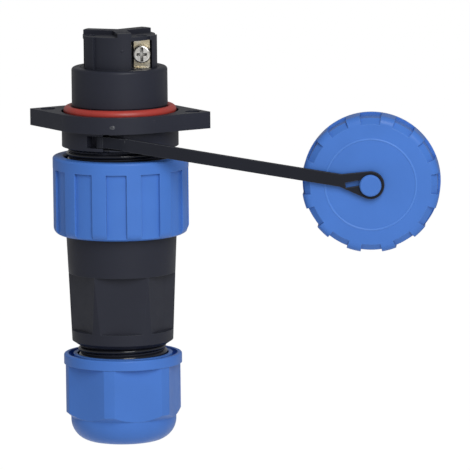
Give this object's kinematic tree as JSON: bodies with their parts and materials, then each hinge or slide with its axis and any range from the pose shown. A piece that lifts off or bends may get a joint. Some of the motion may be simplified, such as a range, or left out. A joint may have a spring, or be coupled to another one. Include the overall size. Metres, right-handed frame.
{
  "type": "panel mount waterproof connector",
  "caption": "Round power connector for a panel: flanged black receptacle with red seal, mated blue-ringed cable plug with gland nut, and a tethered blue dust cap.",
  "frame": {"origin": "centre of the flange face that lies against the panel, midway between the two screw holes", "axes": "+Z points through the panel to the wiring terminals, +X runs from ear to ear of the flange"},
  "size_m": [0.1216, 0.0398, 0.1208],
  "materials": {
    "blue_shell": "blue glass-filled nylon, fine satin",
    "black_shell": "black glass-filled nylon, satin",
    "black_insert": "black moulded nylon",
    "black_strap": "soft black elastomer, satin",
    "red_seal": "red silicone, satin",
    "dark_seal": "black rubber, matt",
    "contact_metal": "nickel plate on brass",
    "screw_metal": "nickel-plated steel"
  },
  "bodies": {
    "receptacle": {"receptacle_body": "black_shell", "flange_seal": "red_seal", "receptacle_insert": "black_insert", "interface_seal": "dark_seal", "pin_contact_1": "contact_metal", "pin_contact_2": "contact_metal", "pin_contact_3": "contact_metal"},
    "plug": {"plug_shell": "black_shell", "plug_insert": "black_insert", "insert_retainer": "black_shell", "socket_contact_1": "contact_metal", "socket_contact_2": "contact_metal", "socket_contact_3": "contact_metal", "plug_terminal_screws": "screw_metal", "back_shell_seal": "dark_seal", "back_shell": "black_shell", "gland_grommet": "dark_seal"},
    "ring": {"coupling_ring": "blue_shell"},
    "claw": {"gland_claw": "black_shell"},
    "nut": {"gland_nut": "blue_shell"},
    "strap": {"cap_strap": "black_strap"},
    "cap": {"cap": "blue_shell", "cap_gasket": "dark_seal"},
    "terminal_screw_1": {"terminal_screw_1": "screw_metal"},
    "terminal_screw_2": {"terminal_screw_2": "screw_metal"},
    "terminal_screw_3": {"terminal_screw_3": "screw_metal"}
  },
  "joints": [
    {"name": "plug_pull", "type": "slide", "parent": "receptacle", "child": "plug", "axis": [0, 0, -1], "range_m": [0, 0.026]},
    {"name": "coupling_ring_turn", "type": "hinge", "parent": "plug", "child": "ring", "pos_m": [0, 0, -0.025], "axis": [0, 0, 1], "continuous": true},
    {"name": "gland_claw_slide", "type": "slide", "parent": "plug", "child": "claw", "axis": [0, 0, 1], "range_m": [-0.009, 0.0021]},
    {"name": "gland_nut_turn", "type": "hinge", "parent": "claw", "child": "nut", "pos_m": [0, 0, -0.084], "axis": [0, 0, 1], "range_deg": [-1621, 379]},
    {"name": "strap_swing", "type": "hinge", "parent": "receptacle", "child": "strap", "pos_m": [-0.00203, -0.01567, -0.00752], "axis": [0, 0, -1], "range_deg": [0, 100]},
    {"name": "cap_spin", "type": "hinge", "parent": "strap", "child": "cap", "pos_m": [0.07534, -0.00403, -0.0199], "axis": [0.1736, -0.9848, 0], "continuous": true},
    {"name": "terminal_screw_1_turn", "type": "hinge", "parent": "receptacle", "child": "terminal_screw_1", "pos_m": [0.0073, -0.00206, 0.01685], "axis": [0.225, -0.9744, 0], "range_deg": [0, 1170]},
    {"name": "terminal_screw_2_turn", "type": "hinge", "parent": "receptacle", "child": "terminal_screw_2", "pos_m": [-0.00187, 0.00735, 0.01685], "axis": [0.7314, 0.682, 0], "range_deg": [0, 1170]},
    {"name": "terminal_screw_3_turn", "type": "hinge", "parent": "receptacle", "child": "terminal_screw_3", "pos_m": [-0.00543, -0.00529, 0.01685], "axis": [-0.9563, 0.2924, 0], "range_deg": [0, 1170]}
  ],
  "couplings": [
    {"joint": "gland_nut_turn", "follows": "gland_claw_slide", "rad_per_m": 3141.6}
  ]
}
